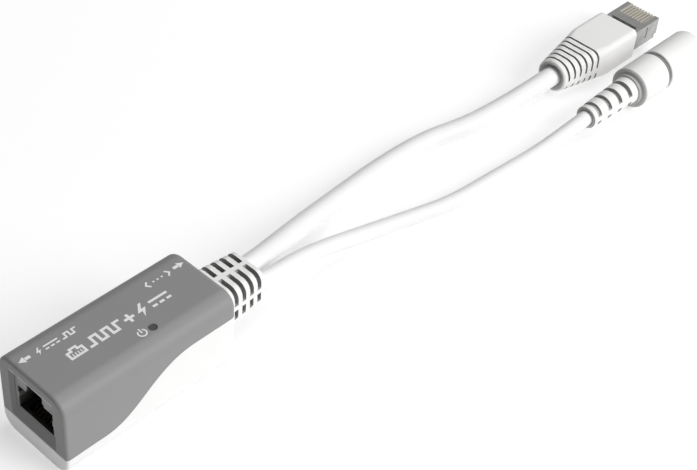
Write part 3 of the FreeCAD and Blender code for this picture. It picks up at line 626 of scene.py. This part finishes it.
def plate_unit(outline, half_w, bevel):
    """A plate from points of x and z, as thick as twice half_w, with bevelled edges."""
    n = len(outline)
    cx, cz = (sum(p[axis] for p in outline) / n for axis in (0, 1))

    def drawn_in(value, centre):
        return value + math.copysign(min(bevel, abs(centre - value)), centre - value)

    shrunk = [(drawn_in(x, cx), drawn_in(z, cz)) for x, z in outline]
    layers = ((shrunk, -half_w), (outline, bevel - half_w), (outline, half_w - bevel), (shrunk, half_w))
    points = [(x, y, z) for layer, y in layers for x, z in layer]
    faces = [tuple(range(n)), tuple(range(4 * n - 1, 3 * n - 1, -1))]
    for level in range(3):
        for i in range(n):
            j, base = (i + 1) % n, level * n
            faces.append((base + j, base + i, base + n + i, base + n + j))
    return points, faces


def wire_unit(path, radius, sides=10):
    """A round wire through points of x and z."""
    points, faces = [], []
    for k, (x, z) in enumerate(path):
        ahead = path[min(k + 1, len(path) - 1)]
        behind = path[max(k - 1, 0)]
        tangent = Vector((ahead[0] - behind[0], 0, ahead[1] - behind[1])).normalized()
        across, up = Vector((0, 1, 0)), tangent.cross(Vector((0, 1, 0)))
        for i in range(sides):
            angle = 2 * math.pi * i / sides
            points.append(Vector((x, 0, z)) + radius * (math.cos(angle) * across + math.sin(angle) * up))
    for k in range(len(path) - 1):
        for i in range(sides):
            j = (i + 1) % sides
            faces.append((k * sides + j, k * sides + i, (k + 1) * sides + i, (k + 1) * sides + j))
    last = (len(path) - 1) * sides
    faces.append(tuple(range(sides)))
    faces.append(tuple(range(last + sides - 1, last - 1, -1)))
    return points, faces


def curved(path, steps=8):
    """A smooth path through points, as a Catmull-Rom curve."""
    ends = [path[0], *path, path[-1]]
    made = []
    for quad in zip(ends, ends[1:], ends[2:], ends[3:]):
        for t in (step / steps for step in range(steps)):
            made.append(tuple(0.5 * (2 * b + (c - a) * t + (2 * a - 5 * b + 4 * c - d) * t * t
                                     + (3 * b - a - 3 * c + d) * t ** 3) for a, b, c, d in zip(*quad)))
    return [*made, path[-1]]


CONTACT_PITCH, CONTACTS = 1.02 * MM, 8


def row_start(low, high):
    """The y of the first contact of a row in the middle of a box."""
    return (low.y + high.y) / 2 - CONTACT_PITCH * (CONTACTS - 1) / 2


def make_contacts():
    low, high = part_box("plug_contacts")
    x0, x1, z0, z1 = low.x, high.x, low.z, high.z
    step = 0.25 * MM
    blade = [(x0, z0), (x1 - step, z0), (x1, z0 + 0.4 * MM), (x1, z1 - 2 * step), (x1 - step, z1 - 0.3 * step),
             (x1 - 3 * step, z1), (x0 + 3 * step, z1), (x0 + step, z1 - 0.3 * step), (x0, z1 - 2 * step)]
    plug_row = repeated("plug_contact_row", plate_unit(blade, 0.2 * MM, 0.03 * MM), CONTACTS, row_start(low, high),
                        CONTACT_PITCH, 0.02 * MM, GOLD, "plug_contacts")
    low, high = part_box("jack_contact_springs")
    x0, x1, z0, z1 = low.x, high.x, low.z, high.z
    path = [(x0 + 0.15 * MM, z0 + 0.12 * MM), (x0 + 0.6 * MM, z0 + 0.3 * MM), (x0 + 5 * MM, z0 + 2.1 * MM),
            (x1 - 1.3 * MM, z1 - 0.35 * MM), (x1 - 0.75 * MM, z1 - 0.15 * MM), (x1 - 0.2 * MM, z1 - 0.5 * MM)]
    repeated("jack_spring_row", wire_unit(curved(path), 0.15 * MM), CONTACTS, row_start(low, high), CONTACT_PITCH,
             0.03 * MM, SPRING_GOLD_PAINTED_SHADE, "jack_contact_springs", body="contact_springs")
    return plug_row


# ------------------------------------------------------------------ printed marks

MARK_T = 0.01 * MM


def flat_mark(name, outlines):
    """Closed outlines of x and y in millimetres, laid on the cover's top as a thin layer of ink."""
    points, faces = [], []
    for outline in outlines:
        area = sum(a[0] * b[1] - b[0] * a[1] for a, b in zip(outline, outline[1:] + outline[:1]))
        loop = outline if area > 0 else outline[::-1]
        start, n = len(points), len(loop)
        points += [(x * MM, y * MM, CASE_TOP - MARK_T) for x, y in loop]
        points += [(x * MM, y * MM, CASE_TOP + MARK_T) for x, y in loop]
        faces.append(tuple(range(start + n - 1, start - 1, -1)))
        faces.append(tuple(range(start + n, start + 2 * n)))
        faces += [(start + i, start + (i + 1) % n, start + n + (i + 1) % n, start + n + i) for i in range(n)]
    return piece(name, points, faces, [INK], sharp=20)


def bar(x0, y0, x1, y1):
    return [(x0, y0), (x1, y0), (x1, y1), (x0, y1)]


def stroke(path, thick):
    """A line of even thickness along a path, with mitred corners."""
    left, right = [], []
    for k, here in enumerate(path):
        before, after = path[max(k - 1, 0)], path[min(k + 1, len(path) - 1)]
        into = Vector((here[0] - before[0], here[1] - before[1]))
        away = Vector((after[0] - here[0], after[1] - here[1]))
        into = (into if into.length else away).normalized()
        away = (away if away.length else into).normalized()
        normal = Vector((-into.y - away.y, into.x + away.x)).normalized()
        reach = thick / 2 / max(0.3, normal.dot(Vector((-into.y, into.x))))
        left.append((here[0] + normal.x * reach, here[1] + normal.y * reach))
        right.append((here[0] - normal.x * reach, here[1] - normal.y * reach))
    return left + right[::-1]


def arc_band(cx, cy, r, thick, first, last, steps=36):
    """A band of a circle from one angle to another, in degrees."""
    angles = [math.radians(first + (last - first) * i / steps) for i in range(steps + 1)]
    return stroke([(cx + r * math.cos(a), cy + r * math.sin(a)) for a in angles], thick)


def arrow(tip, y, way):
    """A flow arrow along x: a head and, past a small gap, its shaft."""
    neck = tip - way * 1.6
    near, far = neck - way * 0.1, neck - way * 1.45
    return [[(tip, y), (neck, y + 0.95), (neck, y - 0.95)], bar(min(near, far), y - 0.42, max(near, far), y + 0.42)]


def bolt(x, y, h):
    """A lightning bolt of height h whose middle is at x and y."""
    shape = ((0.12, 0.5), (-0.32, -0.08), (-0.02, -0.08), (-0.14, -0.5), (0.32, 0.1), (0.03, 0.1), (0.3, 0.5))
    return [[(x + u * h, y + v * h) for u, v in shape]]


def pulses(x, y, w, h, count, thick):
    """A square wave: x is its left end, y its middle."""
    step, path = w / (2 * count), []
    for i in range(2 * count):
        level = y + (h / 2 if i % 2 else -h / 2) * (1 - thick / h)
        path += [(x + i * step, level), (x + (i + 1) * step, level)]
    return [stroke(path, thick)]


def direct_current(x, y, w, h, thick):
    """The mark for direct current: a full line above three dashes."""
    dash = w / 4
    lower = [bar(x + i * 1.5 * dash, y - h / 2, x + i * 1.5 * dash + dash, y - h / 2 + thick) for i in range(3)]
    return [bar(x, y + h / 2 - thick, x + w, y + h / 2), *lower]


def port(x, y, w, h, thick):
    """A network jack seen from its front: a frame with a notch, and four contacts."""
    top, low, notch, rise = y + h / 2 - thick / 2, y - h / 2 + thick / 2, w / 4, h * 0.24
    left, right = x + thick / 2, x + w - thick / 2
    path = [(x + w / 2, low), (left, low), (left, top - rise), (left + notch, top - rise), (left + notch, top),
            (right - notch, top), (right - notch, top - rise), (right, top - rise), (right, low), (x + w / 2, low)]
    teeth = [bar(tooth - 0.13, low + thick * 0.4, tooth + 0.13, low + h * 0.36)
             for tooth in (x + w * (0.26 + 0.16 * i) for i in range(4))]
    return [stroke(path, thick), *teeth]


def chevrons(x, y, w, h, thick):
    """Two facing angles with three dots between them, for a data line."""
    reach = h * 0.42
    left = stroke([(x + reach, y + h / 2), (x, y), (x + reach, y - h / 2)], thick)
    right = stroke([(x + w - reach, y + h / 2), (x + w, y), (x + w - reach, y - h / 2)], thick)
    dots = [bar(dot - thick / 2, y - thick / 2, dot + thick / 2, y + thick / 2)
            for dot in (x + w * f for f in (0.32, 0.5, 0.68))]
    return [left, right, *dots]


def plus(x, y, size, thick):
    """An upright cross in three bars that meet edge to edge."""
    return [bar(x - size / 2, y - thick / 2, x - thick / 2, y + thick / 2),
            bar(x - thick / 2, y - size / 2, x + thick / 2, y + size / 2),
            bar(x + thick / 2, y - thick / 2, x + size / 2, y + thick / 2)]


def make_mouth_edge():
    """The lit edge of the lip over the jack: a fine land along the top of the casing's mouth, in a light grey that
    paints the highlight on it.
    """
    half, top, x = 7.6 * MM, 20.3 * MM, COVER_LOW.x
    section = [(x + 0.01 * MM, top), (x + 0.01 * MM, top - 0.2 * MM), (x + 0.07 * MM, top - 0.27 * MM),
               (x + 0.3 * MM, top - 0.7 * MM), (x + 0.3 * MM, top - 0.5 * MM)]
    n = len(section)
    points = [(px, y, pz) for y in (-half, half) for px, pz in section]
    faces = [tuple(range(n)), tuple(range(2 * n - 1, n - 1, -1))]
    faces += [((i + 1) % n, i, n + i, n + (i + 1) % n) for i in range(n)]
    piece("mouth_edge", points, faces, [MOUTH_EDGE_PAINTED_HIGHLIGHT], sharp=60)


def make_marks():
    """Signs that need no words: power goes out at the jack, data comes in at the leads."""
    out_y, out_thick, symbol_x, symbol_y = 4.85, 0.42, 1.75, -5.75
    flat_mark("arrow_to_jack", arrow(-23.1, 5.0, -1))
    flat_mark("label_power_out", [*bolt(-17.9, out_y, 2.2), *direct_current(-16.4, out_y, 3.8, 1.4, out_thick),
                                  *pulses(-11.9, out_y, 4.2, 1.7, 2, out_thick)])
    flat_mark("arrow_to_leads", arrow(23.05, 4.95, 1))
    flat_mark("label_data", chevrons(11.8, 4.7, 6.8, 1.9, 0.46))
    middle, thick = -0.4, 0.66
    flat_mark("sign_port", port(-14.4, middle, 4.5, 3.2, 0.6))
    flat_mark("sign_pulses", pulses(-9.1, middle, 9.6, 3.1, 3, thick))
    flat_mark("sign_plus", plus(2.6, middle, 2.7, 0.74))
    flat_mark("sign_bolt", bolt(6.2, middle, 4.1))
    flat_mark("sign_direct_current", direct_current(8.7, middle, 5.3, 2.3, thick))
    flat_mark("power_symbol", [arc_band(symbol_x, symbol_y, 1.0, 0.36, 125, 415),
                               bar(symbol_x - 0.18, symbol_y, symbol_x + 0.18, symbol_y + 1.45)])


# ------------------------------------------------------------------ light, floor and camera

LIGHT_SIZE, LIGHT_AIM = 1.0, (0.08, 0, 0)
KEY_PLACE, KEY_POWER = (0.5, -1.2, 0.82), 20.3
FILL_PLACE, FILL_POWER = (0.45, 0.05, 1.38), 10.2
WORLD_STRENGTH = 0.06
FLOOR_HALF, FLOOR_TONES, FLOOR_GLOW = 3.0, (0.48, 0.52), 0.55


def area_light(name, place, power):
    data = bpy.data.lights.new(name, "AREA")
    data.shape = "DISK"
    data.size = LIGHT_SIZE
    data.energy = power
    obj = bpy.data.objects.new(name, data)
    obj.location = place
    obj.rotation_euler = (Vector(LIGHT_AIM) - Vector(place)).to_track_quat("-Z", "Y").to_euler()
    bpy.context.scene.collection.objects.link(obj)


def make_floor():
    """A pale floor that glows a little, as a lit sweep does."""
    finish = Finish("pale floor", Roughness=0.9)
    tone = finish.noise(0.3, detail=2)
    finish.feed("Base Color", finish.blend(tone, *((grey, grey, grey) for grey in FLOOR_TONES)))
    finish.shader.inputs["Emission Color"].default_value = (1, 1, 1, 1)
    finish.shader.inputs["Emission Strength"].default_value = FLOOR_GLOW
    mesh = bpy.data.meshes.new("floor")
    mesh.from_pydata([(x * FLOOR_HALF, y * FLOOR_HALF, 0) for x, y in ((-1, -1), (1, -1), (1, 1), (-1, 1))], [],
                     [(0, 1, 2, 3)])
    mesh.materials.append(finish.material)
    floor = bpy.data.objects.new("floor", mesh)
    bpy.context.scene.collection.objects.link(floor)


def light_scene():
    world = bpy.data.worlds.new("studio")
    world.use_nodes = True
    background = world.node_tree.nodes["Background"]
    background.inputs["Color"].default_value = (1, 1, 1, 1)
    background.inputs["Strength"].default_value = WORLD_STRENGTH
    bpy.context.scene.world = world
    area_light("side_key", KEY_PLACE, KEY_POWER)
    area_light("top_fill", FILL_PLACE, FILL_POWER)
    bpy.context.scene.view_settings.view_transform = "Standard"


CAMERA_PLACE = (-0.14963, -0.19017, 0.26775)
CAMERA_AZIMUTH, CAMERA_ELEVATION, CAMERA_ROLL = 220.363, 41.993, 5.055
CAMERA_LENS, CAMERA_SENSOR = 80.93, 36.0


def make_camera():
    """The camera looks back along a line of that azimuth, from +X round +Z, and elevation, rolled about it."""
    a, e, roll = (math.radians(v) for v in (CAMERA_AZIMUTH, CAMERA_ELEVATION, CAMERA_ROLL))
    back = Vector((math.cos(a) * math.cos(e), math.sin(a) * math.cos(e), math.sin(e)))
    level = (-back).cross(Vector((0, 0, 1))).normalized()
    upright = level.cross(-back)
    right = math.cos(roll) * level + math.sin(roll) * upright
    up = -math.sin(roll) * level + math.cos(roll) * upright
    data = bpy.data.cameras.new("camera")
    data.lens = CAMERA_LENS
    data.sensor_width = CAMERA_SENSOR
    data.clip_start = 0.01
    camera = bpy.data.objects.new("camera", data)
    camera.matrix_world = Matrix.Translation(CAMERA_PLACE) @ Matrix((right, up, back)).transposed().to_4x4()
    bpy.context.scene.collection.objects.link(camera)
    bpy.context.scene.camera = camera


def main():
    make_camera()
    make_floor()
    light_scene()
    finish_nodes()
    boot = make_cable_boot()
    grip = make_plug_boot()
    overmould = make_dc_overmould()
    sleeve_skin = make_dc_sleeve()
    make_mouth_edge()
    make_marks()
    contacts = make_contacts()
    data_lead = lead("data_lead", DATA_ROUTE, DATA_D, "data_cable")
    power_lead = lead("power_lead", POWER_ROUTE, POWER_D, "power_cable")


main()
